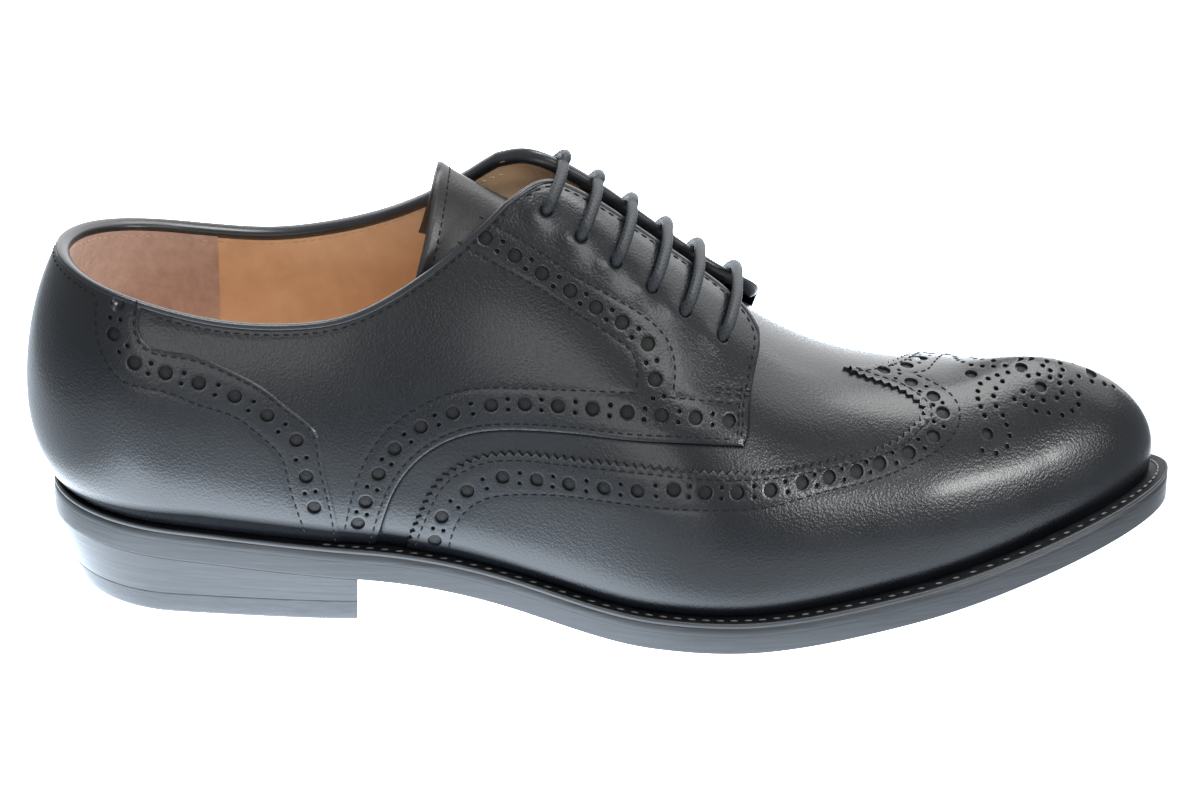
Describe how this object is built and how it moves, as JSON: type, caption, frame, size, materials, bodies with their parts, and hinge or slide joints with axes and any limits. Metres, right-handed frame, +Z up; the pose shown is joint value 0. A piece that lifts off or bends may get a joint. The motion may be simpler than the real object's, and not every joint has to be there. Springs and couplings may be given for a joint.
{
  "type": "wingtip derby shoe",
  "caption": "Right-foot black leather wingtip derby shoe: open-laced hollow upper with winged toe cap and heel counter, tongue, welt, leather outsole with toe spring, and stacked heel.",
  "frame": {"origin": "centre of the shoe's box on the floor plane under heel and forefoot", "axes": "+X from heel to toe, +Y to the inner (medial) side of the foot, +Z up"},
  "size_m": [0.316, 0.1032, 0.1237],
  "materials": {
    "black_leather": "satin",
    "sole_leather": "satin",
    "tan_leather": "matte",
    "heel_rubber": "matte",
    "waxed_cord": "matte"
  },
  "bodies": {
    "root": {"outsole": "sole_leather", "welt": "sole_leather", "insole": "tan_leather", "heel_stack": "sole_leather", "heel_top_piece": "heel_rubber", "upper": "black_leather", "wing_cap": "black_leather", "heel_counter": "black_leather", "tongue": "black_leather", "lace_bar_1": "waxed_cord", "lace_bar_2": "waxed_cord", "lace_bar_3": "waxed_cord", "lace_bar_4": "waxed_cord", "lace_bar_5": "waxed_cord", "lace_bar_6": "waxed_cord"}
  },
  "joints": []
}
